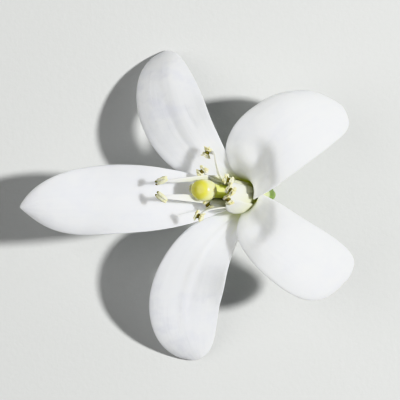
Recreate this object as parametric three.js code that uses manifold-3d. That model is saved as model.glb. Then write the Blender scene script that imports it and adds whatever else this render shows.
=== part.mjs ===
// A single white five-petalled citrus-family flower, picked with a short piece of its stalk and lying
// face up, tipped over to the left. It stands on its upper left and lower left petal tips and on the
// cut end of the stalk. Millimetres, +Z up, +Y away from the viewer's hand, origin under the middle.
import * as THREE from "three";
import Module from "manifold-3d";

const wasm = await Module();
wasm.setup();
const { Manifold, Mesh } = wasm;

// How the flower lies: its axis leans by `lean` from upright towards -X, then turns by `turn` about Z,
// and the middle of the petal ring is at `base`. Everything below `floor` is pressed flat.
const pose = { lean: 35, turn: -4, base: [4.95, 0.5, 3.6], floor: 0.1 };

const petalThickness = 0.6;
const petalGrid = { rows: 24, columns: 10 };

// A petal stands at `azimuth` round the axis, `root` from it. Keys run from claw to tip: `width` across
// the blade, `lean` of the midrib from the axis, `swing` of the midrib sideways, `roll` about the midrib,
// `cup` the half angle of the cross-section's arc (margins up where positive). `tip` shapes the end.
// `sag` is how far the bend of a petal hangs towards the table, and how much more on one side.
const petals = {
  petal_left: {
    azimuth: 195, length: 20.4, root: 1.3, width: [1.15, 1.3, 2.3, 4.9, 6.5, 6.5],
    lean: [4, 22, 45, 60, 61, 85], swing: [5, -8, -5], roll: [-5, 6, 12, -12],
    cup: [24, 31, 26, 24, 24, -20], tip: [5.6, 0.76],
  },
  petal_upper_left: {
    azimuth: 132, length: 17.5, root: 1.42, width: [1.1, 1.15, 1.5, 5.1, 5.9, 4.9],
    lean: [15, 28, 75, 102, 116, 147], swing: [7, -4, -13], roll: [-7, 2, 24, 23],
    cup: [27, 30, 14, 3, -12, -6], tip: [5.7, 0.51],
  },
  petal_upper_right: {
    azimuth: 46, length: 16.5, root: 1.42, width: [1.2, 1.4, 3.15, 6.4, 7.4, 6.6],
    lean: [-2, 25, 87, 125, 161, 182], swing: [-1, 4, 9], roll: [-2, 0, 1, 5],
    cup: [35, 44, 63, 5, -24, -13], tip: [6.2, 0.45], sag: [0.85, -0.4],
  },
  petal_lower_right: {
    azimuth: -35, length: 15.9, root: 1.42, width: [1.2, 1.45, 1.7, 4.7, 6.1, 7.1],
    lean: [5, 30, 84, 120, 148, 194], swing: [-2, -1, -14], roll: [2, -11, -16, -9],
    cup: [27, 26, 40, -4, -17, -1], tip: [6.2, 0.51], sag: [0.85, 0.15],
  },
  petal_lower_left: {
    azimuth: -104, length: 18, root: 1.42, width: [1.1, 1.3, 2.45, 4.9, 6.2, 5.8],
    lean: [23, 37, 90, 113, 127, 141], swing: [1, -15, 14], roll: [7, -17, -49, -28],
    cup: [29, 27, 23, 0, -6, -8], tip: [5.8, 0.44],
  },
};

// Ten stamens in one ring, every 36 degrees, long and short in turn. Each anther is given as its
// reach from the axis, its azimuth, its height, the turn of its long side from the reach, and how
// far its filament bows outwards on the way up.
const stamenRing = { radius: 0.82, wall: 0.3, bottom: -0.04, top: 0.5 };
const filament = { width: [0.5, 0.54, 0.5, 0.42, 0.3], thickness: 0.26 };
const anther = { length: 1.15, lobe: 0.36, depth: 0.42, spread: 0.15 };
const anthers = [
  [1.77, 6, 6.8, 60, 0.25], [1.2, 53, 5.7, 20, 0.15], [3.42, 115, 5.95, 50, 0.3],
  [2.24, 137, 6.2, 10, 0.3], [3.56, 171.6, 9.27, 30, 0.6], [2.46, 181, 6.05, 80, 0.4],
  [3.51, 193.7, 9.27, -45, 0.6], [1.6, 230, 5.9, -20, 0.3], [2.21, 260, 8.05, -15, 0.6],
  [1.49, 334, 6.4, 40, 0.7],
];

// The third filament droops over a petal and comes to its anther from the side, through these points.
const drooping = {
  index: 2, points: [[0.3, 0.75, 2.6], [-0.03, 0.98, 5.4], [-0.37, 2.04, 6], [-0.74, 3.04, 5.95]],
};

// Pistil profile, radius and height from the foot of the ovary to the top of the stigma. The style
// bows to the left, by `pistilBow` at its full height.
const pistilProfile = [
  [0, -0.04], [0.58, -0.04], [0.6, 0.3], [0.54, 0.45], [0.6, 1], [0.62, 1.6], [0.58, 2.3], [0.54, 3],
  [0.54, 4], [0.57, 5], [0.6, 5.8], [0.64, 6.05], [0.77, 6.18], [0.85, 6.34], [0.88, 6.52], [0.89, 6.75],
  [0.88, 6.97], [0.84, 7.15], [0.74, 7.33], [0.56, 7.46], [0.3, 7.56], [0, 7.6],
];
const pistilBow = 1.16;

// Calyx cup and stalk: radii down the cup, then the stalk bends down to its cut end.
const cup = [
  [1.6, -0.12], [1.7, -0.3], [1.62, -0.55], [1.35, -0.85], [0.98, -1.1], [0.7, -1.32], [0.52, -1.6],
];
const stalk = { radius: 0.46, end: [5.6, 0.46, -0.3], endRadius: 0.55, steps: 7 };
const sepal = {
  azimuth: 0, length: 1.35, root: 1.84, foot: -0.7, width: [1.3, 1.3, 1.25, 1.1, 0.85, 0.5],
  lean: [28, 12, 4], swing: [0, 0, 0], roll: [0, 0, 0], cup: [30, 30, 30, 28, 24, 20], tip: [3, 0.9],
};
const sepalThickness = 0.6;

const radians = THREE.MathUtils.degToRad;
const tilt = new THREE.Matrix4()
  .makeRotationZ(radians(pose.turn))
  .multiply(new THREE.Matrix4().makeRotationY(-radians(pose.lean)))
  .setPosition(...pose.base);
const upwards = new THREE.Vector3(0, 0, 1).transformDirection(tilt.clone().invert());

// The value at `s` (0 to 1) of a smooth curve through evenly spaced keys.
function along(keys, s) {
  const last = keys.length - 1;
  const x = Math.min(Math.max(s, 0), 1) * last;
  const i = Math.min(Math.floor(x), last - 1);
  const t = x - i;
  const [b, c] = [keys[i], keys[i + 1]];
  const a = i > 0 ? keys[i - 1] : 2 * b - c;
  const d = i < last - 1 ? keys[i + 2] : 2 * c - b;
  const cubic = (3 * b - a - 3 * c + d) * t ** 3;
  return 0.5 * (2 * b + (c - a) * t + (2 * a - 5 * b + 4 * c - d) * t * t + cubic);
}

function ease(x, low, high) {
  const t = THREE.MathUtils.clamp((x - low) / (high - low), 0, 1);
  return t * t * (3 - 2 * t);
}

// Midrib direction, sideways direction and face normal of a blade at `s`.
function bladeFrame(blade, s) {
  const lean = radians(along(blade.lean, s));
  const swing = radians(blade.azimuth + along(blade.swing, s));
  const forward = new THREE.Vector3(
    Math.sin(lean) * Math.cos(swing), Math.sin(lean) * Math.sin(swing), Math.cos(lean));
  const side = new THREE.Vector3(-Math.sin(swing), Math.cos(swing), 0);
  const roll = radians(along(blade.roll, s));
  side.applyAxisAngle(forward, roll);
  return { forward, side, normal: forward.clone().cross(side) };
}

// One face of a blade as rows of points from claw to tip, `offset` from the middle surface.
function bladeFace(blade, rows, columns, offset) {
  const steps = 96;
  const azimuth = radians(blade.azimuth);
  const midrib = [new THREE.Vector3(
    blade.root * Math.cos(azimuth), blade.root * Math.sin(azimuth), blade.foot ?? 0.15)];
  for (let i = 0; i < steps; i++) {
    const { forward } = bladeFrame(blade, (i + 0.5) / steps);
    midrib.push(midrib[i].clone().addScaledVector(forward, blade.length / steps));
  }
  const face = [];
  for (let row = 0; row <= rows; row++) {
    const s = (1 - (1 - row / rows) ** 1.5) * 0.9985;
    const step = Math.min(Math.floor(s * steps), steps - 1);
    const centre = midrib[step].clone().lerp(midrib[step + 1], s * steps - step);
    const { side, normal } = bladeFrame(blade, s);
    const half = 0.5 * along(blade.width, Math.sqrt(s)) * (1 - s ** blade.tip[0]) ** blade.tip[1];
    const bend = radians(along(blade.cup, Math.sqrt(s))) || 1e-4;
    const [sag, slant] = blade.sag ?? [0, 0];
    const hang = sag * ease(s, 0.08, 0.28) * (1 - ease(s, 0.4, 1));
    const points = [];
    for (let column = 0; column <= columns; column++) {
      const t = (2 * column) / columns - 1;
      const angle = bend * t;
      const across = (half / bend - offset) * Math.sin(angle);
      const up = (half / bend) * (1 - Math.cos(angle)) + offset * Math.cos(angle);
      const point = centre.clone().addScaledVector(side, across).addScaledVector(normal, up);
      points.push(point.addScaledVector(upwards, -hang * (1 + slant * t)));
    }
    face.push(points);
  }
  return face;
}

// A closed solid from points and triangles given in the flower's own frame, laid down as it rests.
function solidOf(points, triangles) {
  const vertices = new Float32Array(points.length * 3);
  points.forEach((point, i) => point.clone().applyMatrix4(tilt).toArray(vertices, i * 3));
  const triVerts = new Uint32Array(triangles.flat());
  return new Manifold(new Mesh({ numProp: 3, vertProperties: vertices, triVerts }));
}

// Both faces of a blade, cut up alike, and a rim all round.
function bladeSolid(blade, thickness, { rows, columns }) {
  const points = [];
  for (const side of [0.5, -0.5]) points.push(...bladeFace(blade, rows, columns, side * thickness).flat());
  const width = columns + 1;
  const lower = (rows + 1) * width;
  const triangles = [];
  for (let row = 0; row < rows; row++)
    for (let column = 0; column < columns; column++) {
      const a = row * width + column;
      const [b, c, d] = [a + 1, a + width, a + width + 1];
      const cut = column < columns / 2 ? [[a, c, d], [a, d, b]] : [[a, c, b], [b, c, d]];
      for (const [i, j, k] of cut) triangles.push([i, j, k], [i + lower, k + lower, j + lower]);
    }
  const rim = [];
  for (let column = 0; column < columns; column++) rim.push(column);
  for (let row = 0; row < rows; row++) rim.push(row * width + columns);
  for (let column = columns; column > 0; column--) rim.push(rows * width + column);
  for (let row = rows; row > 0; row--) rim.push(row * width);
  rim.forEach((a, i) => {
    const b = rim[(i + 1) % rim.length];
    triangles.push([a, b, b + lower], [a, b + lower, a + lower]);
  });
  return solidOf(points, triangles);
}

// A skin over rings of equal size, closed at both ends by a fan to the ring's middle.
function loft(rings) {
  const size = rings[0].length;
  const points = rings.flat();
  const triangles = [];
  for (let ring = 0; ring < rings.length - 1; ring++)
    for (let i = 0; i < size; i++) {
      const [a, b] = [ring * size + i, ring * size + ((i + 1) % size)];
      triangles.push([a, b, b + size], [a, b + size, a + size]);
    }
  for (const [ring, start] of [[0, 0], [rings.length - 1, (rings.length - 1) * size]]) {
    const middle = points.length;
    points.push(rings[ring].reduce((sum, p) => sum.add(p), new THREE.Vector3()).divideScalar(size));
    for (let i = 0; i < size; i++) {
      const [a, b] = [start + i, start + ((i + 1) % size)];
      triangles.push(ring ? [middle, a, b] : [middle, b, a]);
    }
  }
  return solidOf(points, triangles);
}

function ellipse(centre, across, over, width, thickness, sides) {
  return Array.from({ length: sides }, (_, i) => {
    const angle = (2 * Math.PI * i) / sides;
    return centre.clone()
      .addScaledVector(across, (width / 2) * Math.cos(angle))
      .addScaledVector(over, (thickness / 2) * Math.sin(angle));
  });
}

// A level ring of points round the flower's axis.
function ring(radius, z, sides, x = 0) {
  const [across, over] = [new THREE.Vector3(1, 0, 0), new THREE.Vector3(0, 1, 0)];
  return ellipse(new THREE.Vector3(x, 0, z), across, over, 2 * radius, 2 * radius, sides);
}

// A filament rises beside the style, then bends out to its anther.
function filamentCurve(index) {
  const [reach, azimuth, height, , bow] = anthers[index];
  const foot = radians(36 * index);
  const end = radians(azimuth);
  const out = new THREE.Vector3(Math.cos(foot), Math.sin(foot), 0);
  const tip = new THREE.Vector3(reach * Math.cos(end), reach * Math.sin(end), height - anther.depth * 0.4);
  const root = out.clone().multiplyScalar(stamenRing.radius).setZ(0.1);
  if (index === drooping.index) {
    const between = drooping.points.map((point) => new THREE.Vector3(...point));
    return new THREE.CatmullRomCurve3([root, ...between, tip]);
  }
  const rise = out.clone().multiplyScalar(stamenRing.radius + bow).setZ(height * 0.62);
  const arch = tip.clone().multiplyScalar(0.62).setZ(height * 0.97);
  return new THREE.CubicBezierCurve3(root, rise, arch, tip);
}

function stamens() {
  const { radius, wall, bottom, top } = stamenRing;
  const outer = loft([ring(radius + wall / 2, bottom, 30), ring(radius + wall / 2, top, 30)]);
  const inner = loft([ring(radius - wall / 2, bottom - 0.5, 30), ring(radius - wall / 2, top + 0.5, 30)]);
  const pieces = [outer.subtract(inner)];
  anthers.forEach(([, azimuth, , turn], index) => {
    const curve = filamentCurve(index);
    const steps = 9;
    const rings = [];
    for (let i = 0; i <= steps; i++) {
      const centre = curve.getPoint(i / steps);
      const forward = curve.getTangent(i / steps);
      const foot = radians(36 * index);
      const across = new THREE.Vector3(-Math.sin(foot), Math.cos(foot), 0);
      across.addScaledVector(forward, -across.dot(forward)).normalize();
      const width = along(filament.width, i / steps);
      rings.push(ellipse(centre, across, forward.clone().cross(across), width, filament.thickness, 6));
    }
    pieces.push(loft(rings));
    const tip = curve.getPoint(1);
    const heading = radians(azimuth + turn);
    const long = new THREE.Vector3(Math.cos(heading), Math.sin(heading), 0);
    const side = new THREE.Vector3(-Math.sin(heading), Math.cos(heading), 0);
    for (const lobe of [-1, 1]) {
      const middle = tip.clone().addScaledVector(side, lobe * anther.spread);
      middle.z += anther.depth * 0.4;
      const lobeRings = [];
      for (let i = 1; i < 6; i++) {
        const angle = (Math.PI * i) / 6;
        lobeRings.push(ellipse(
          middle.clone().addScaledVector(long, (-anther.length / 2) * Math.cos(angle)),
          side, long.clone().cross(side),
          anther.lobe * Math.sin(angle), anther.depth * Math.sin(angle), 8));
      }
      pieces.push(loft(lobeRings));
    }
  });
  return Manifold.union(pieces);
}

function pistil() {
  const sides = 28;
  const height = pistilProfile.at(-1)[1];
  const bow = (z) => -pistilBow * (Math.max(z, 0) / height) ** 2;
  return loft(pistilProfile.slice(1, -1).map(([radius, z]) => ring(radius, z, sides, bow(z))));
}

// The stalk starts down the flower's axis and bends until it stands upright on its cut end.
function calyxAndStalk() {
  const lay = tilt.clone().invert();
  const top = new THREE.Vector3(0, 0, cup.at(-1)[1]);
  const end = new THREE.Vector3(...stalk.end).applyMatrix4(lay);
  const upright = new THREE.Vector3(0, 0, 1).transformDirection(lay);
  const curve = new THREE.CubicBezierCurve3(
    top, top.clone().setZ(top.z - 0.6), end.clone().addScaledVector(upright, 1.3), end);
  const x = new THREE.Vector3(1, 0, 0);
  const rings = cup.map(([radius, z]) => ring(radius, z, 24));
  for (let i = 1; i <= stalk.steps; i++) {
    const t = i / stalk.steps;
    const forward = curve.getTangent(t).negate();
    const across = x.clone().addScaledVector(forward, -x.dot(forward)).normalize();
    const swell = THREE.MathUtils.lerp(stalk.radius, stalk.endRadius, t ** 3);
    rings.push(ellipse(curve.getPoint(t), across, forward.clone().cross(across), 2 * swell, 2 * swell, 24));
  }
  const pieces = [loft(rings.reverse())];
  for (let i = 0; i < 5; i++)
    pieces.push(bladeSolid({ ...sepal, azimuth: 6 + 72 * i }, sepalThickness, { rows: 6, columns: 4 }));
  return Manifold.union(pieces);
}

const solids = {};
for (const [name, petal] of Object.entries(petals))
  solids[name] = bladeSolid(petal, petalThickness, petalGrid);
solids.pedicel_and_calyx = calyxAndStalk();
solids.pistil = pistil();
solids.stamens = stamens();

const looks = {
  petal: new THREE.MeshStandardMaterial({ color: 0xf2f2f4, roughness: 0.5 }),
  pedicel_and_calyx: new THREE.MeshStandardMaterial({ color: 0x7f9450, roughness: 0.55 }),
  pistil: new THREE.MeshStandardMaterial({ color: 0xcfcb62, roughness: 0.4 }),
  stamens: new THREE.MeshStandardMaterial({ color: 0xeeeadb, roughness: 0.5 }),
};

// Press the resting points flat, then put the origin under the middle of the flower.
const box = new THREE.Box3();
for (const name of Object.keys(solids)) {
  solids[name] = solids[name].trimByPlane([0, 0, 1], pose.floor);
  const { min, max } = solids[name].boundingBox();
  box.expandByPoint(new THREE.Vector3(...min)).expandByPoint(new THREE.Vector3(...max));
}
const middle = box.getCenter(new THREE.Vector3());

const flower = new THREE.Group();
flower.name = "flower";
for (const [name, solid] of Object.entries(solids)) {
  const mesh = solid.translate([-middle.x, -middle.y, -pose.floor]).getMesh();
  const geometry = new THREE.BufferGeometry();
  geometry.setAttribute("position", new THREE.BufferAttribute(mesh.vertProperties, 3));
  geometry.setIndex(new THREE.BufferAttribute(mesh.triVerts, 1));
  geometry.computeVertexNormals();
  const piece = new THREE.Mesh(geometry, looks[name] ?? looks.petal);
  piece.name = name;
  flower.add(piece);
}

export default flower;
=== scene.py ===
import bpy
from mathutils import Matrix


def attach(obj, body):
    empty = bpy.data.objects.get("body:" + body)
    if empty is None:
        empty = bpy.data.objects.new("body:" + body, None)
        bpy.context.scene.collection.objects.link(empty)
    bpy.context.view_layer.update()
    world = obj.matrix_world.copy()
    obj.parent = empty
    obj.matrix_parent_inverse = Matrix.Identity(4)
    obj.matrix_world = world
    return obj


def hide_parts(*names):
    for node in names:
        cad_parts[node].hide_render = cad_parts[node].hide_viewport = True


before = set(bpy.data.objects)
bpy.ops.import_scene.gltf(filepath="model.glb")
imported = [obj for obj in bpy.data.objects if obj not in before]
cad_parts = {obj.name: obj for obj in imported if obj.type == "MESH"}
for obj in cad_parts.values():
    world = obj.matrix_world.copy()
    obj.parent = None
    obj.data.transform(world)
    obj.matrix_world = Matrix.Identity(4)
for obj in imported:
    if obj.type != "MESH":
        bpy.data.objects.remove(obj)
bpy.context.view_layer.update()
print("frame loaded with", len(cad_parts), "nodes")

import random
from math import cos, exp, pi, radians, sin, sqrt

import bmesh
import bpy
from mathutils import Matrix, Vector, noise

# The flower is modelled upright in millimetres, petal ring at the origin, then laid down as it rests.
lie = {"lean": 35, "turn": -4, "base": (6.0536, 0.9462, 3.5)}
layDown = (
    Matrix.Scale(0.001, 4)
    @ Matrix.Translation(lie["base"])
    @ Matrix.Rotation(radians(lie["turn"]), 4, "Z")
    @ Matrix.Rotation(-radians(lie["lean"]), 4, "Y")
)
upwards = Vector((sin(radians(lie["lean"])), 0, cos(radians(lie["lean"]))))     # straight up, once laid down


# ---- shader helpers ----
class Wire:
    # a number inside a material: sums written on it become Math nodes
    def __init__(self, paint, socket):
        self.paint, self.socket = paint, socket

    def __add__(self, other): return self.paint.sum("ADD", self, other)
    def __radd__(self, other): return self.paint.sum("ADD", other, self)
    def __sub__(self, other): return self.paint.sum("SUBTRACT", self, other)
    def __rsub__(self, other): return self.paint.sum("SUBTRACT", other, self)
    def __mul__(self, other): return self.paint.sum("MULTIPLY", self, other)
    def __rmul__(self, other): return self.paint.sum("MULTIPLY", other, self)


class Paint:
    def __init__(self, name):
        self.material = bpy.data.materials.new(name)
        self.material.use_nodes = True
        self.tree = self.material.node_tree
        self.tree.nodes.clear()

    # any node: settings first, then the values or links of its sockets
    def add(self, kind, settings=None, sockets=None, out=0):
        node = self.tree.nodes.new(kind)
        for key, value in (settings or {}).items():
            if key == "stops":
                while len(node.color_ramp.elements) < len(value):
                    node.color_ramp.elements.new(0.5)
                for element, (place, colour) in zip(node.color_ramp.elements, value):
                    element.position, element.color = place, (*colour, 1)
            else:
                setattr(node, key, value)
        for key, value in (sockets or {}).items():
            socket = node.inputs[key]
            if isinstance(value, Wire):
                self.tree.links.new(value.socket, socket)
            elif socket.type == "RGBA" and len(value) == 3:
                socket.default_value = (*value, 1)
            else:
                socket.default_value = value
        return Wire(self, node.outputs[out]) if len(node.outputs) else node

    def sum(self, operation, a, b=0.0):
        return self.add("ShaderNodeMath", {"operation": operation}, {0: a, 1: b})

    def reading(self, name):
        return self.add("ShaderNodeAttribute", {"attribute_name": name}, out="Fac")

    def place(self):
        return self.add("ShaderNodeTexCoord", out="Object")

    def vector(self, x, y, z=0.0):
        return self.add("ShaderNodeCombineXYZ", sockets={0: x, 1: y, 2: z})

    def step(self, value, low, high):
        ends = {"Value": value, "From Min": low, "From Max": high}
        return self.add("ShaderNodeMapRange", {"interpolation_type": "SMOOTHSTEP"}, ends)

    def grain(self, vector, scale, detail=2.0, rough=0.5):
        sockets = {"Vector": vector, "Scale": scale, "Detail": detail, "Roughness": rough}
        return self.add("ShaderNodeTexNoise", sockets=sockets)

    def cells(self, vector, scale):
        return self.add("ShaderNodeTexVoronoi", sockets={"Vector": vector, "Scale": scale})

    def blend(self, amount, a, b):
        return self.add("ShaderNodeMix", {"data_type": "RGBA"}, {0: amount, 6: a, 7: b}, 2)

    def finish(self, colour, roughness, height=None, depth=0.00002, fixed=None):
        sockets = {"Base Color": colour, "Roughness": roughness, **(fixed or {})}
        if height is not None:
            sockets["Normal"] = self.add(
                "ShaderNodeBump", sockets={"Strength": 1.0, "Distance": depth, "Height": height})
        shader = self.add("ShaderNodeBsdfPrincipled", sockets=sockets)
        self.add("ShaderNodeOutputMaterial", sockets={"Surface": shader})
        return self.material


def tint(code):
    # a colour written as six hex digits, made linear
    parts = [int(code[i:i + 2], 16) / 255 for i in (0, 2, 4)]
    return tuple(p / 12.92 if p < 0.04045 else ((p + 0.055) / 1.055) ** 2.4 for p in parts)


# ---- shape helpers ----
def along(keys, s):
    # value at s, 0 to 1, of a smooth curve through evenly spaced keys
    last = len(keys) - 1
    x = min(max(s, 0), 1) * last
    i = min(int(x), last - 1)
    t = x - i
    b, c = keys[i], keys[i + 1]
    a = keys[i - 1] if i > 0 else 2 * b - c
    d = keys[i + 2] if i < last - 1 else 2 * c - b
    square, cube = 2 * a - 5 * b + 4 * c - d, 3 * b - a - 3 * c + d
    return 0.5 * (2 * b + (c - a) * t + square * t * t + cube * t ** 3)


def towardsEach(a, b, c, d, t):
    # the point at t on a curve that leaves a for b and comes to d from c
    u = 1 - t
    return a * u ** 3 + b * (3 * u * u * t) + c * (3 * u * t * t) + d * t ** 3


def ease(x, low, high):
    t = min(max((x - low) / (high - low), 0), 1)
    return t * t * (3 - 2 * t)


def putDown(name, bm, paint, node, pressed=None):
    # turns a mesh drawn upright into a piece of the part as it lies
    bmesh.ops.transform(bm, matrix=layDown, verts=bm.verts)
    if pressed:
        pressed(bm)
    mesh = bpy.data.meshes.new(name)
    bm.to_mesh(mesh)
    bm.free()
    mesh.shade_smooth()
    mesh.materials.append(paint)
    piece = bpy.data.objects.new(name, mesh)
    bpy.context.collection.objects.link(piece)
    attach(piece, "root")
    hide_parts(node)
    print(name, "made with", len(mesh.polygons), "faces")


# ---- petals ----
petalForm = {
    "rows": 130, "columns": 48,
    "rib": 0.46, "blade": 0.34, "margin": 0.1,    # thickness at midrib, blade and margin
    "sunk": 0.05,                                 # the skin sits this far behind the solid's middle
    "pinch": 0.52,                                # the claws are drawn in this far round the filaments
    "flat": 0.00012,                              # least thickness of a tip pressed on the table, in metres
}

# Shares of the way along a blade at which each effect starts and ends, and the sizes of its unevenness.
bladeForm = {
    "crowding": 1.5, "last": 0.9985,              # rows stand closer near the tip, and stop just short of it
    "pinched": (0.04, 0.26), "ribFades": (0.2, 0.95), "ribSpread": 0.3,
    "waved": (0.15, 0.4), "ripple": 0.03, "marginRipple": 0.16, "unevenness": 0.012,
    "sags": (0.08, 0.28), "sagEnds": (0.4, 1.0),
}

# A fold is its middle across the blade, its spread, its depth, and where it starts and ends on the midrib.
# A crease is a hollow line from one place on the blade to another, its width and depth in millimetres.
# A sag is how far the bend of a petal hangs towards the table, and how much more on one side.
petals = {
    "petal_left": {
        "azimuth": 195, "length": 20.4, "root": 1.3, "width": [1.6, 1.8, 2.6, 4.9, 6.5, 6.5],
        "lean": [4, 22, 45, 60, 61, 85], "swing": [5, -8, -5], "roll": [-5, 6, 12, -12],
        "cup": [24, 31, 26, 24, 24, -20], "tip": [5.6, 0.76],
        "folds": [(0.0, 0.14, 0.05, 0.15, 0.55), (-0.45, 0.2, -0.02, 0.2, 0.8), (0.45, 0.2, -0.02, 0.2, 0.8)],
    },
    "petal_upper_left": {
        "azimuth": 132, "length": 17.5, "root": 1.42, "width": [1.7, 1.8, 2.1, 5.1, 5.9, 4.9],
        "lean": [15, 28, 75, 102, 116, 147], "swing": [7, -4, -13], "roll": [-7, 2, 24, 23],
        "cup": [27, 30, 22, 3, -12, -6], "tip": [5.7, 0.51],
        "folds": [(0.06, 0.1, 0.05, 0.3, 0.65), (-0.35, 0.5, -0.22, 0.3, 0.9), (0.5, 0.25, -0.04, 0.3, 0.8)],
        "creases": [((0.4, -0.5), (0.55, -0.42), 0.25, 0.05)], "wave": 0.3, "paintedShadePatches": 0.5,
    },
    "petal_upper_right": {
        "azimuth": 46, "length": 16.5, "root": 1.42, "width": [1.7, 2.0, 3.5, 6.4, 7.4, 6.6],
        "lean": [-2, 25, 87, 125, 161, 182], "swing": [-1, 4, 9], "roll": [-2, 0, 1, 5],
        "cup": [35, 46, 64, 5, -24, -13], "tip": [6.2, 0.45],
        "folds": [(0.0, 0.2, 0.04, 0.45, 0.8), (0.5, 0.2, -0.02, 0.3, 0.8)],
        "creases": [((0.24, -0.8), (0.4, 0.08), 1.3, 0.75)], "sag": (0.85, -0.4), "pinch": 0.5,
    },
    "petal_lower_right": {
        "azimuth": -35, "length": 15.9, "root": 1.42, "width": [1.6, 1.9, 2.5, 4.8, 6.1, 7.1],
        "lean": [5, 30, 84, 120, 148, 194], "swing": [-2, -1, -14], "roll": [2, -11, -16, -9],
        "cup": [30, 40, 50, -4, -17, -1], "tip": [6.2, 0.51],
        "folds": [(0.0, 0.2, 0.04, 0.45, 0.75), (-0.5, 0.2, -0.02, 0.3, 0.8)],
        "creases": [((0.22, 0.35), (0.4, -0.15), 1.3, 0.7)], "sag": (0.85, 0.15), "pinch": 0.5,
        "claw": 0.03,
    },
    "petal_lower_left": {
        "azimuth": -104, "length": 18, "root": 1.42, "width": [1.7, 2.0, 2.8, 4.9, 6.2, 5.8],
        "lean": [23, 37, 90, 113, 127, 141], "swing": [1, -15, 14], "roll": [7, -17, -49, -28],
        "cup": [29, 30, 27, 0, -6, -8], "tip": [5.8, 0.44],
        "folds": [(0.15, 0.09, 0.06, 0.2, 0.75), (-0.2, 0.1, 0.05, 0.2, 0.8), (-0.02, 0.1, -0.02, 0.2, 0.8)],
        "paintedShadePatches": 0.3,
    },
}


def bladeFrame(blade, s):
    lean = radians(along(blade["lean"], s))
    swing = radians(blade["azimuth"] + along(blade["swing"], s))
    forward = Vector((sin(lean) * cos(swing), sin(lean) * sin(swing), cos(lean)))
    across = Vector((-sin(swing), cos(swing), 0))
    across.rotate(Matrix.Rotation(radians(along(blade["roll"], s)), 3, forward))
    return forward, across, forward.cross(across)


def midribOf(blade, steps=96):
    azimuth = radians(blade["azimuth"])
    rib = [Vector((blade["root"] * cos(azimuth), blade["root"] * sin(azimuth), blade.get("foot", 0.15)))]
    for i in range(steps):
        rib.append(rib[-1] + bladeFrame(blade, (i + 0.5) / steps)[0] * (blade["length"] / steps))
    return rib


def hollow(crease, blade, half, s, t):
    # depth of a crease at one place, fading towards both of its ends
    (s0, t0), (s1, t1), width, depth = crease
    start = Vector((s * blade["length"], t * half)) - Vector((s0 * blade["length"], t0 * half))
    line = Vector(((s1 - s0) * blade["length"], (t1 - t0) * half))
    share = start.dot(line) / line.length_squared
    aside = (start - line * share).length
    return depth * exp(-(aside / width) ** 2) * ease(share, -0.1, 0.4) * (1 - ease(share, 0.8, 1.4))


def shapeBlade(bm, blade, form, seed):
    # a grid from margin to margin and claw to tip, pulled out to a closed skin, then bent along the midrib
    run, side, back = [bm.verts.layers.float.new(key) for key in ("run", "side", "back")]
    rows, columns = form["rows"], form["columns"]
    bmesh.ops.create_grid(bm, x_segments=columns, y_segments=rows, size=0.5)
    for vert in bm.verts:
        t = 2 * vert.co.x
        vert[side] = 0.45 * t + 0.55 * sin(pi / 2 * t)
        vert[run] = (1 - (1 - min(vert.co.y + 0.5, 1)) ** bladeForm["crowding"]) * bladeForm["last"]
    behind = bmesh.ops.extrude_face_region(bm, geom=bm.faces[:])["geom"]
    for vert in behind:
        if isinstance(vert, bmesh.types.BMVert):
            vert[back] = 1

    rib = midribOf(blade)
    steps = len(rib) - 1
    stations = {}
    for vert in bm.verts:
        s, t = vert[run], vert[side]
        if s not in stations:
            i = min(int(s * steps), steps - 1)
            half = 0.5 * along(blade["width"], sqrt(s)) * (1 - s ** blade["tip"][0]) ** blade["tip"][1]
            bend = radians(along(blade["cup"], sqrt(s))) or 1e-4
            stations[s] = (rib[i].lerp(rib[i + 1], s * steps - i), bladeFrame(blade, s), half, bend)
        centre, (_, across, normal), half, bend = stations[s]
        drawn = blade.get("pinch", form.get("pinch", 0)) * (1 - ease(s, *bladeForm["pinched"]))
        inward = Vector((-centre.x, -centre.y, 0)).normalized() * drawn
        crest = max(1 - abs(t) ** 2.6, 0) ** 0.5
        thick = form["margin"] + (form["blade"] - form["margin"]) * crest
        rise = exp(-(t / bladeForm["ribSpread"]) ** 2) * (1 - ease(s, *bladeForm["ribFades"]))
        thick += (form["rib"] - form["blade"]) * rise
        fade = ease(half, 0.0, 0.8)
        lift = 0
        for middle, spread, depth, start, end in blade.get("folds", ()):
            reach = ease(s, start - 0.1, start + 0.1) * (1 - ease(s, end - 0.15, end + 0.1))
            lift -= depth * reach * exp(-((t - middle) / spread) ** 2)
        for crease in blade.get("creases", ()):
            lift -= hollow(crease, blade, half, s, t)
        wave = noise.noise(Vector((s * 5.5, t * 0.8, seed)))
        wave *= bladeForm["ripple"] + bladeForm["marginRipple"] * abs(t) ** 3
        lift += wave * ease(s, *bladeForm["waved"]) * blade.get("wave", 1)
        lift += bladeForm["unevenness"] * noise.noise(Vector((s * 9, t * 9, seed + 7)))
        offset = (0.5 - vert[back]) * thick - form["sunk"]
        up = half / bend * (1 - cos(bend * t)) + (offset + lift * fade) * cos(bend * t)
        out = (half / bend - offset) * sin(bend * t)
        sag, tilt = blade.get("sag", (0, 0))
        sag *= ease(s, *bladeForm["sags"]) * (1 - ease(s, *bladeForm["sagEnds"]))
        vert.co = centre + inward + across * out + normal * up - upwards * sag * (1 + tilt * t)
    bmesh.ops.recalc_face_normals(bm, faces=bm.faces)


def pressFlat(bm):
    # tips that touch the table are pressed flat on it, and keep a little thickness
    back = bm.verts.layers.float["back"]
    for vert in bm.verts:
        vert.co.z = max(vert.co.z, (1 - vert[back]) * petalForm["flat"])


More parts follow.
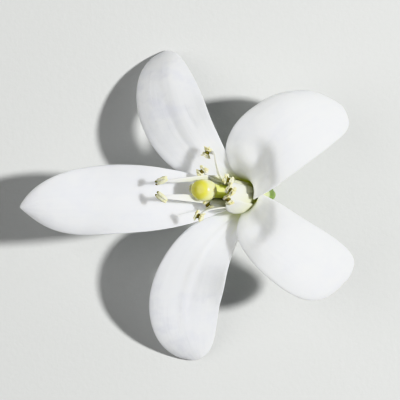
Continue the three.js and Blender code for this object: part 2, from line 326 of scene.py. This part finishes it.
def petalPaint(name, seed, paintedShadePatches, claw):
    # the painted shade patches setting adds grey cloudy patches of painted shade to the outer half, standing
    # in for small undulations of the blade; claw carries the green of the foot further up
    p = Paint(name)
    run, side, back, place = p.reading("run"), p.reading("side"), p.reading("back"), p.place()
    spread = p.sum("ABSOLUTE", side)
    wander = p.grain(p.vector(side * 1.5, run * 3, seed), 2, 2) - 0.5
    fan = p.vector(side * 4, run * 0.9, seed + back * 3)
    band = p.step(p.grain(fan, 0.9, 2, 0.5), 0.35, 0.7)             # broad soft bands along the blade
    streak = p.step(p.grain(fan, 3.2, 3, 0.65), 0.4, 0.75)          # finer uneven streaks
    lines = p.sum("ABSOLUTE", p.sum("SINE", (side + wander * 0.16) * 13))
    patchy = p.step(p.grain(p.vector(side * 2, run * 5, seed + 9), 1.4, 2), 0.42, 0.62)
    vein = p.step(1 - lines, 0.55, 1.0) * p.step(spread, 0.95, 0.6) * p.step(run, 0.12, 0.3) * patchy
    gland = p.step(p.cells(place, 2100), 0.2, 0.1)
    mottle = p.step(p.grain(place, 420, 3, 0.6), 0.42, 0.68)        # soft cloudy patches
    colour = p.blend(band * 0.3, tint("f5f6fb"), tint("ebecf3"))
    # painted shade: grey cloudy patches in place of the shading of small undulations, stronger on the outer
    # half
    colour = p.blend(mottle * (0.3 + p.step(run, 0.45, 0.65) * paintedShadePatches), colour, tint("e1e2ec"))
    colour = p.blend(streak * 0.1, colour, tint("dddfe4"))
    colour = p.blend(vein * 0.07, colour, tint("cbd0d2"))
    colour = p.blend(gland * 0.08, colour, tint("dcdfd8"))
    # painted shade: a faint lavender darkening along the margins and at the tip, where the edge turns away
    # from the light
    colour = p.blend(p.step(spread, 0.9, 1.0) * 0.3, colour, tint("e9e6f0"))
    colour = p.blend(p.step(run, 0.93, 1.0) * 0.25, colour, tint("ece7f2"))
    colour = p.blend(p.step(run + wander * 0.08, 0.24 + claw, 0.1 + claw) * 0.75, colour, tint("e6eabc"))
    colour = p.blend(p.step(run, 0.18 + claw, 0.05 + claw) * 0.9, colour, tint("cdd68a"))
    colour = p.blend(p.step(run, 0.1, 0.03) * 0.5, colour, tint("8d9f4e"))
    colour = p.blend(back * p.step(run, 0.45, 0.05) * 0.35, colour, tint("dbe2b8"))
    skin = p.grain(place, 16000, 2, 0.6)
    relief = skin * 0.25 - vein * 0.3 - gland * 0.25 - streak * 0.25 - band * 0.4
    return p.finish(
        colour, 0.46 + p.grain(place, 900, 3) * 0.14, relief, 0.000012,
        {"Subsurface Weight": 1.0, "Subsurface Radius": (1.0, 0.97, 0.9), "Subsurface Scale": 0.0013,
         "Specular IOR Level": 0.35})


for index, (node, petal) in enumerate(petals.items()):
    bm = bmesh.new()
    shapeBlade(bm, petal, petalForm, 3.7 * index + 1)
    left, _, right = node[6:].partition("_")
    skin = petalPaint(node + "_skin", 5.3 * index, petal.get("paintedShadePatches", 0), petal.get("claw", 0))
    putDown("petal" + left.title() + right.title(), bm, skin, node, pressFlat)


# ---- pistil ----
pistilForm = {
    "style": [(0, -0.04), (0.44, -0.04), (0.5, 0.02), (0.52, 0.16), (0.46, 0.3), (0.4, 0.4), (0.42, 0.8),
              (0.44, 1.3), (0.45, 1.8), (0.46, 2.4), (0.48, 3), (0.51, 3.9), (0.55, 4.8), (0.58, 5.4),
              (0.6, 5.8), (0.62, 6.1), (0.5, 6.4), (0, 6.45)],
    # the stigma is a thick disc with rounded shoulders and a low domed top
    "stigma": [(0, 6.1), (0.5, 6.1), (0.66, 6.14), (0.78, 6.24), (0.85, 6.38), (0.88, 6.54), (0.89, 6.72),
               (0.89, 6.9), (0.87, 7.06), (0.82, 7.2), (0.73, 7.33), (0.59, 7.44), (0.4, 7.52), (0.2, 7.58),
               (0, 7.6)],
    "bow": 1.16, "height": 7.6, "steps": 64, "finer": 4,
    "dent": 0.04, "dentSpread": 0.22, "dentFrom": 7.2, "swell": 0.03,
}


def turned(profile, steps, finer):
    # a profile of radius and height, drawn finer and spun round the axis
    bm = bmesh.new()
    rise = bm.verts.layers.float.new("rise")
    count = (len(profile) - 1) * finer
    line = []
    for i in range(count + 1):
        s = i / count
        radius = max(along([r for r, _ in profile], s), 0) if 0 < i < count else 0
        vert = bm.verts.new((radius, 0, along([z for _, z in profile], s)))
        vert[rise] = s
        line.append(vert)
    edges = [bm.edges.new(pair) for pair in zip(line, line[1:])]
    bmesh.ops.spin(bm, geom=line + edges, cent=(0, 0, 0), axis=(0, 0, 1), dvec=(0, 0, 0),
                   angle=2 * pi, steps=steps, use_merge=True, use_duplicate=False)
    bmesh.ops.remove_doubles(bm, verts=bm.verts, dist=0.0005)
    bmesh.ops.recalc_face_normals(bm, faces=bm.faces)
    return bm


def bowOver(bm, form):
    for vert in bm.verts:
        vert.co.x -= form["bow"] * (max(vert.co.z, 0) / form["height"]) ** 2


def stylePaint():
    p = Paint("styleGreen")
    rise, place = p.reading("rise"), p.place()
    ribs = p.grain(place, 2600, 3, 0.6)
    colour = p.add("ShaderNodeValToRGB", {"stops": [
        (0.0, tint("a5b96a")), (0.25, tint("b9c97a")), (0.5, tint("d8e096")), (0.75, tint("dce18e")),
        (1.0, tint("dde090"))]}, {"Fac": rise})
    colour = p.blend(p.step(ribs, 0.35, 0.7) * 0.3, colour, tint("d0d878"))
    return p.finish(
        colour, 0.32 + ribs * 0.15, p.grain(place, 9000, 2), 0.00001,
        {"Subsurface Weight": 1.0, "Subsurface Radius": (0.95, 1.0, 0.5), "Subsurface Scale": 0.0008})


def stigmaPaint():
    p = Paint("stigmaYellow")
    rise, place = p.reading("rise"), p.place()
    mottle = p.grain(place, 1300, 2, 0.5)
    colour = p.blend(p.step(rise + (mottle - 0.5) * 0.1, 0.5, 0.72), tint("dcdda8"), tint("d8d55e"))
    colour = p.blend(p.step(rise, 0.3, 0.05) * 0.6, colour, tint("d8dc92"))
    colour = p.blend(p.step(mottle, 0.45, 0.7) * p.step(rise, 0.65, 0.85) * 0.45, colour, tint("d2c63e"))
    bumps = p.cells(place, 11000)
    return p.finish(
        colour, 0.28 + bumps * 0.15, bumps * 0.4 + mottle, 0.000005,
        {"Subsurface Weight": 0.8, "Subsurface Radius": (1.0, 0.9, 0.4), "Subsurface Scale": 0.0005,
         "Coat Roughness": 0.14, "Coat Weight": 0.8})


bm = turned(pistilForm["style"], pistilForm["steps"], pistilForm["finer"])
bowOver(bm, pistilForm)
putDown("style", bm, stylePaint(), "pistil")

bm = turned(pistilForm["stigma"], pistilForm["steps"], pistilForm["finer"])
for vert in bm.verts:
    # two faint lobes with a shallow dent between them on the top
    top = ease(vert.co.z, pistilForm["dentFrom"], pistilForm["height"])
    vert.co.z -= pistilForm["dent"] * top * exp(-(vert.co.y / pistilForm["dentSpread"]) ** 2)
    swell = 1 + pistilForm["swell"] * noise.noise(vert.co * 1.7)
    vert.co.x, vert.co.y = vert.co.x * swell, vert.co.y * swell
bowOver(bm, pistilForm)
putDown("stigma", bm, stigmaPaint(), "pistil")


# ---- stamens ----
stamenForm = {
    "ring": 0.66, "turn": -12,                       # radius of the ring of feet, and where it starts
    "lowBend": 0.62, "highBend": 0.92,               # shares of its height at which a filament bends
    "neck": 0.17,                                    # it ends this far under the middle of the anther
    # how far a filament bows to one side, towards -Y for most, and those with a wider foot
    "aside": {4: 0.35, 6: -0.35, 7: -0.1, 8: -0.2, 9: -0.85}, "otherwise": -0.6,
    "wide": {7: 0.3, 8: 0.6, 9: 0.5}, "wideTo": (0.6, 0.95),
    "width": [0.42, 0.74, 1.0, 0.96, 0.56, 0.26],    # across a short filament from foot to anther
    "longWidth": [0.42, 0.7, 0.84, 0.64, 0.48, 0.26], "longFrom": 7.5,
    # the third filament droops over a petal and comes to its anther from the side, through these points
    "drooping": {2: [(0.3, 0.75, 2.6), (-0.03, 0.98, 5.4), (-0.37, 2.04, 6), (-0.74, 3.04, 5.95)]},
    "thickness": [0.26, 0.24, 0.2, 0.16, 0.14, 0.12],
    "stations": 40, "sides": 14,
    "lobe": 0.34, "length": 0.86, "depth": 0.42, "spread": 0.17,
    "closed": (0.36, 1.3, 0.4, 0.11),                # the same four of an anther that is still closed
    "clumps": 6, "grains": 80, "grainSize": 0.045,
}

# Reach from the axis, azimuth, height, turn of the long side, bow of the filament, how far the lobes have
# opened, and for a closed one the side that has browned.
stamens = [
    (1.77, 4, 6.8, 60, 0.95, 1, 0), (1.2, 53, 5.7, 20, 0.95, 1, 0),
    (3.42, 115, 5.95, 50, 0.3, 0.9, 0), (2.24, 137, 6.2, 10, 0.5, 1, 0),
    (3.56, 171.6, 9.27, 30, 1.1, 0.15, -1), (2.46, 181, 6.05, 80, 0.4, 0.7, 0),
    (3.51, 193.7, 9.27, -45, 0.9, 0.15, 1), (1.6, 230, 5.9, -20, 0.6, 1, 0),
    (2.21, 260, 8.05, -15, 0.7, 0.9, 0), (1.49, 334, 6.4, 40, 1.1, 1, 0),
]


def footOf(index):
    return radians(360 / len(stamens) * index + stamenForm["turn"])


def filamentPath(index):
    reach, azimuth, height, _, bow, _, _ = stamens[index]
    foot, end = footOf(index), radians(azimuth)
    out = Vector((cos(foot), sin(foot), 0))
    tip = Vector((reach * cos(end), reach * sin(end), height - stamenForm["neck"]))
    root = out * stamenForm["ring"] + Vector((0, 0, 0.05))
    aside = Vector((0, stamenForm["aside"].get(index, stamenForm["otherwise"]), 0))
    rise = out * (stamenForm["ring"] + bow) + aside + Vector((0, 0, stamenForm["lowBend"] * height))
    arch = Vector((tip.x * 0.5, tip.y * 0.5, height * stamenForm["highBend"])) + aside * 0.5
    shares = [i / stamenForm["stations"] for i in range(stamenForm["stations"] + 1)]
    between = stamenForm["drooping"].get(index)
    if between:
        return [Vector([along(keys, t) for keys in zip(root, *between, tip)]) for t in shares]
    return [towardsEach(root, rise, arch, tip, t) for t in shares]


def sweep(bm, stations, sides):
    # a closed tube through stations, each a matrix that places a unit circle
    ring = bmesh.ops.create_circle(bm, cap_ends=True, segments=sides, radius=1, matrix=stations[0])["verts"]
    edges = [e for e in {e for v in ring for e in v.link_edges} if all(v in ring for v in e.verts)]
    for before, after in zip(stations, stations[1:]):
        made = bmesh.ops.extrude_edge_only(bm, edges=edges)["geom"]
        ring = [g for g in made if isinstance(g, bmesh.types.BMVert)]
        edges = [e for e in made if isinstance(e, bmesh.types.BMEdge) and all(v in ring for v in e.verts)]
        bmesh.ops.transform(bm, matrix=after @ before.inverted(), verts=ring)
        yield ring
    bmesh.ops.contextual_create(bm, geom=edges)


def stationsOn(points, across, size):
    # one station a point, as wide and as thick as size says for its share of the way
    stations = []
    last = len(points) - 1
    for i, point in enumerate(points):
        forward = (points[min(i + 1, last)] - points[max(i - 1, 0)]).normalized()
        across = (across - forward * across.dot(forward)).normalized()
        over = forward.cross(across).normalized()
        turn = Matrix((across, over, forward)).transposed().to_4x4()
        width, thickness = size(i / last)
        stations.append(Matrix.Translation(point) @ turn @ Matrix.Diagonal((width / 2, thickness / 2, 1, 1)))
    return stations


def filament(bm, index, rise):
    points = filamentPath(index)
    widths = stamenForm["longWidth" if stamens[index][2] > stamenForm["longFrom"] else "width"]
    foot = footOf(index)

    def size(s):
        wider = 1 + stamenForm["wide"].get(index, 0) * (1 - ease(s, *stamenForm["wideTo"]))
        return along(widths, s) * wider, along(stamenForm["thickness"], s)

    stations = stationsOn(points, Vector((-sin(foot), cos(foot), 0)), size)
    for i, ring in enumerate(sweep(bm, stations, stamenForm["sides"])):
        for vert in ring:
            vert[rise] = (i + 1) / (len(points) - 1)
    return points[-1]


def filamentPaint():
    p = Paint("filamentWhite")
    rise, place = p.reading("rise"), p.place()
    colour = p.add("ShaderNodeValToRGB", {"stops": [
        (0.0, tint("7f9144")), (0.1, tint("a9b26e")), (0.24, tint("d2d3b4")), (0.5, tint("dedfd0")),
        (1.0, tint("ededea"))]}, {"Fac": rise})
    streak = p.grain(place, 3000, 3, 0.6)
    colour = p.blend(p.step(streak, 0.4, 0.8) * 0.25, colour, tint("e2e3d4"))
    return p.finish(
        colour, 0.38 + streak * 0.15, p.grain(place, 12000, 2), 0.000008,
        {"Subsurface Weight": 0.8, "Subsurface Radius": (1.0, 0.97, 0.85), "Subsurface Scale": 0.0006})


def antherPaint():
    p = Paint("antherCream")
    slit, place = p.reading("slit"), p.place()
    mottle = p.grain(place, 3800, 3, 0.65)
    colour = p.blend(p.step(mottle, 0.35, 0.65), tint("f3f2dc"), tint("e2e0b4"))
    # olive-brown where the anther is marked dark: its own dark tissue, and painted shade in the furrows and
    # hollows of the lobes
    edge = p.step(slit + (mottle - 0.5) * 1.1, 0.42, 0.72)
    brown = p.blend(p.step(p.grain(place, 2500, 2), 0.4, 0.6), tint("7e7e30"), tint("6b5d2c"))
    colour = p.blend(edge, colour, brown)
    return p.finish(
        colour, 0.5 + mottle * 0.2, p.cells(place, 16000) + mottle, 0.000015,
        {"Subsurface Weight": 0.4, "Subsurface Radius": (1.0, 0.9, 0.5), "Subsurface Scale": 0.0002})


def pollenPaint():
    p = Paint("pollenCream")
    shade = p.grain(p.place(), 7000, 2)
    colour = p.blend(p.step(shade, 0.35, 0.65), tint("f5f1cc"), tint("e0d791"))
    return p.finish(colour, 0.6 + shade * 0.2, p.grain(p.place(), 30000, 2), 0.000005)


def antherAxes(index):
    _, azimuth, _, turn, _, openness, brown = stamens[index]
    heading = radians(azimuth + turn)
    return Vector((cos(heading), sin(heading), 0)), Vector((-sin(heading), cos(heading), 0)), openness, brown


def anther(bm, tip, index, slit, draw):
    long, side, openness, brown = antherAxes(index)
    lobeWidth, length, depth, spread = stamenForm["closed"] if brown else [
        stamenForm[key] for key in ("lobe", "length", "depth", "spread")]
    for lobe in (-1, 1):
        middle = tip + side * lobe * spread * (1 + 0.5 * openness)
        middle += long * draw.uniform(-0.1, 0.1) * openness
        middle.z += depth * draw.uniform(0.25, 0.42)
        made = bmesh.ops.create_icosphere(bm, subdivisions=4, radius=1)["verts"]
        twist, seed = draw.uniform(-0.35, 0.35) * openness, draw.uniform(0, 50)
        for vert in made:
            x, y, z = vert.co
            # an open lobe has torn along its top: an uneven furrow between swollen, curled lips
            torn = 0.1 + 0.4 * noise.noise(Vector((x * 1.5, seed, 0)))
            furrow = exp(-((y * lobe - torn) / 0.22) ** 2) * ease(z, 0.0, 0.6) * (1 - ease(abs(x), 0.6, 0.9))
            lump = noise.noise(Vector((x * 2.6, y * 1.6, z * 1.4 + seed)))
            size = 1 + openness * (0.42 * lump - 0.3 * furrow) + 0.05 * noise.noise(vert.co * 2)
            # olive-brown goes into the torn furrow, onto the inner sides where the two lobes face each other
            # and into the dents of the lumps: partly the anther's own dark tissue, partly painted shade in
            # these hollows
            inner = ease(-y * lobe, 0.3, 0.9) * ease(z, -0.3, 0.3)
            dark = openness * (max(0.6 * furrow, 0.7 * inner) + 0.9 * max(-lump - 0.1, 0))
            if brown:
                dark = max(ease(x, 0.45, 0.8), ease(y * brown + 0.6 * (lobe == brown), 1.0, 1.4))
            vert[slit] = min(dark, 1)
            place = Vector((x * length / 2, y * lobeWidth / 2, z * depth / 2)) * size
            place.rotate(Matrix.Rotation(twist * lobe, 3, "Z"))
            vert.co = middle + long * place.x + side * place.y + Vector((0, 0, place.z))


def connective(bm, tip, index, slit):
    # the dark tissue that holds the two lobes of an open anther
    long, side, openness, brown = antherAxes(index)
    if brown:
        return
    made = bmesh.ops.create_icosphere(bm, subdivisions=3, radius=1)["verts"]
    for vert in made:
        x, y, z = vert.co * (1 + 0.3 * noise.noise(vert.co * 2 + Vector((index, 0, 0))))
        vert[slit] = 1
        vert.co = tip + long * x * 0.2 + side * y * 0.13 + Vector((0, 0, 0.15 + z * 0.18))


def pollen(bm, tip, index, draw):
    # grains cling in a few clumps along the torn lobes
    long, side, openness, brown = antherAxes(index)
    form = stamenForm
    clumps = [(draw.uniform(-0.45, 0.45), draw.choice((-1, 1)), draw.uniform(0.8, 2.2))
              for _ in range(form["clumps"])]
    for _ in range(0 if brown else round(form["grains"] * openness)):
        share, lobe, out = draw.choice(clumps)
        x = (share + draw.gauss(0, 0.08)) * form["length"]
        y = lobe * form["spread"] * (0.5 + out) + draw.gauss(0, 0.04)
        crown = sqrt(max(1 - (2 * x / form["length"]) ** 2, 0))
        z = form["depth"] * (0.25 + 0.5 * crown) + draw.gauss(0, 0.03)
        spot = tip + long * x + side * y + Vector((0, 0, z))
        size = form["grainSize"] * draw.uniform(0.5, 1.2)
        bmesh.ops.create_icosphere(bm, subdivisions=2, radius=size, matrix=Matrix.Translation(spot))


draw = random.Random(11)
threads, heads, dust = bmesh.new(), bmesh.new(), bmesh.new()
rise, slit = threads.verts.layers.float.new("rise"), heads.verts.layers.float.new("slit")
for index in range(len(stamens)):
    tip = filament(threads, index, rise)
    anther(heads, tip, index, slit, draw)
    connective(heads, tip, index, slit)
    pollen(dust, tip, index, draw)
bmesh.ops.recalc_face_normals(threads, faces=threads.faces)
putDown("filaments", threads, filamentPaint(), "stamens")
putDown("anthers", heads, antherPaint(), "stamens")
putDown("pollen", dust, pollenPaint(), "stamens")


# ---- calyx and stalk ----
calyxForm = {
    "cup": [(0, 0.04), (0.6, 0.02), (0.92, -0.04), (1.08, -0.14), (1.13, -0.3), (1.1, -0.5), (1.0, -0.76),
            (0.82, -1.02), (0.65, -1.26), (0.53, -1.5), (0.44, -1.68), (0, -1.72)],
    "steps": 72, "finer": 4,
    "sepal": {"length": 1.45, "root": 0.9, "foot": -0.6, "width": [1.2, 1.35, 1.3, 1.2, 0.95, 0.5],
              "lean": [16, 2, -4], "swing": [0, 0, 0], "roll": [0, 0, 0],
              "cup": [40, 40, 40, 38, 34, 26], "tip": [2.6, 0.95]},
    "sepalForm": {"rows": 28, "columns": 18, "rib": 0.26, "blade": 0.2, "margin": 0.06, "sunk": 0.0},
    "firstSepal": -3,
    # the stalk's top is in the cup, and its end is given as it lies, a little under the table
    "top": (0, 0, -1.5), "end": (6.7036, 0.9062, -0.4), "radius": 0.46, "endRadius": 0.55,
    "stations": 40, "sides": 40,
}


def stalkPath():
    lay = layDown.inverted()
    top = Vector(calyxForm["top"])
    end = lay @ (Vector(calyxForm["end"]) * 0.001)
    upright = (lay.to_3x3() @ Vector((0, 0, 1))).normalized()
    bends = top - Vector((0, 0, 0.6)), end + upright * 1.3
    count = calyxForm["stations"]
    return [towardsEach(top, *bends, end, i / count) for i in range(count + 1)]


def greenPaint(name, dark, light):
    p = Paint(name)
    place = p.place()
    patch = p.grain(place, 700, 4, 0.6)
    colour = p.blend(p.step(patch, 0.3, 0.7), tint(dark), tint(light))
    gland = p.step(p.cells(place, 3300), 0.3, 0.15)
    colour = p.blend(gland * 0.5, colour, tint("5d7231"))
    fine = p.grain(place, 9000, 3)
    return p.finish(
        colour, 0.42 + fine * 0.2, fine * 0.6 + gland * 0.8, 0.00002,
        {"Subsurface Weight": 0.2, "Subsurface Radius": (0.5, 1.0, 0.2), "Subsurface Scale": 0.0003})


def stalkSize(s):
    across = 2 * (calyxForm["radius"] + (calyxForm["endRadius"] - calyxForm["radius"]) * s ** 3)
    return across, across


def trimBelow(bm):
    for vert in bm.verts:
        vert.co.z = max(vert.co.z, 0)


bm = turned(calyxForm["cup"], calyxForm["steps"], calyxForm["finer"])
putDown("calyxCup", bm, greenPaint("calyxGreen", "5f7638", "7c924b"), "pedicel_and_calyx")

sepalGreen = greenPaint("sepalGreen", "56702f", "7d9448")
bm = bmesh.new()
for i in range(5):
    one = bmesh.new()
    azimuth = calyxForm["firstSepal"] + 72 * i
    shapeBlade(one, {**calyxForm["sepal"], "azimuth": azimuth}, calyxForm["sepalForm"], 20 + i)
    spare = bpy.data.meshes.new("spare")
    one.to_mesh(spare)
    one.free()
    bm.from_mesh(spare)
    bpy.data.meshes.remove(spare)
putDown("sepals", bm, sepalGreen, "pedicel_and_calyx")

bm = bmesh.new()
list(sweep(bm, stationsOn(stalkPath(), Vector((1, 0, 0)), stalkSize), calyxForm["sides"]))
bmesh.ops.recalc_face_normals(bm, faces=bm.faces)
stalkGreen = greenPaint("stalkGreen", "6d8440", "8ea456")
putDown("stalk", bm, stalkGreen, "pedicel_and_calyx", trimBelow)


# ---- table, light and camera ----
studio = {
    # a long lens looks straight down from here, in millimetres
    "lens": 270, "sensor": 36, "camera": (1.1036, 0.4462, 254.9),
    # each lamp: azimuth, elevation, distance and size in millimetres, power
    "lamps": {"key": (6, 47, 420, 36, 2.4), "fill": (172, 54, 400, 400, 0.58)},
    "sky": (0.96, 0.98, 1.0), "skyStrength": 0.12,
    "table": 600,
}

bm = bmesh.new()
bmesh.ops.create_grid(bm, x_segments=4, y_segments=4, size=studio["table"] / 2000)
bmesh.ops.translate(bm, vec=(0, 0, -0.00001), verts=bm.verts)
mesh = bpy.data.meshes.new("table")
bm.to_mesh(mesh)
bm.free()
table = bpy.data.objects.new("table", mesh)
bpy.context.collection.objects.link(table)
p = Paint("tablePale")
speck = p.grain(p.place(), 2500, 4, 0.6)
mesh.materials.append(p.finish(p.blend(speck * 0.3, tint("c9cac8"), tint("bfc1be")), 0.75 + speck * 0.1,
                               speck, 0.00002))

for name, (azimuth, elevation, distance, size, power) in studio["lamps"].items():
    light = bpy.data.lights.new(name, "AREA")
    light.shape, light.size, light.energy = "DISK", size / 1000, power
    lamp = bpy.data.objects.new(name, light)
    bpy.context.collection.objects.link(lamp)
    around, up = radians(azimuth), radians(elevation)
    towards = Vector((cos(around) * cos(up), sin(around) * cos(up), sin(up)))
    lamp.location = towards * (distance / 1000)
    lamp.rotation_euler = towards.to_track_quat("Z", "Y").to_euler()

sky = bpy.data.worlds.new("sky")
sky.use_nodes = True
sky.node_tree.nodes["Background"].inputs["Color"].default_value = (*studio["sky"], 1)
sky.node_tree.nodes["Background"].inputs["Strength"].default_value = studio["skyStrength"]
bpy.context.scene.world = sky
bpy.context.scene.view_settings.view_transform = "Khronos PBR Neutral"

camera = bpy.data.cameras.new("camera")
camera.lens, camera.sensor_width = studio["lens"], studio["sensor"]
camera.clip_start, camera.clip_end = 0.01, 10
eye = bpy.data.objects.new("camera", camera)
eye.location = Vector(studio["camera"]) / 1000
bpy.context.collection.objects.link(eye)
bpy.context.scene.camera = eye
print("studio ready")
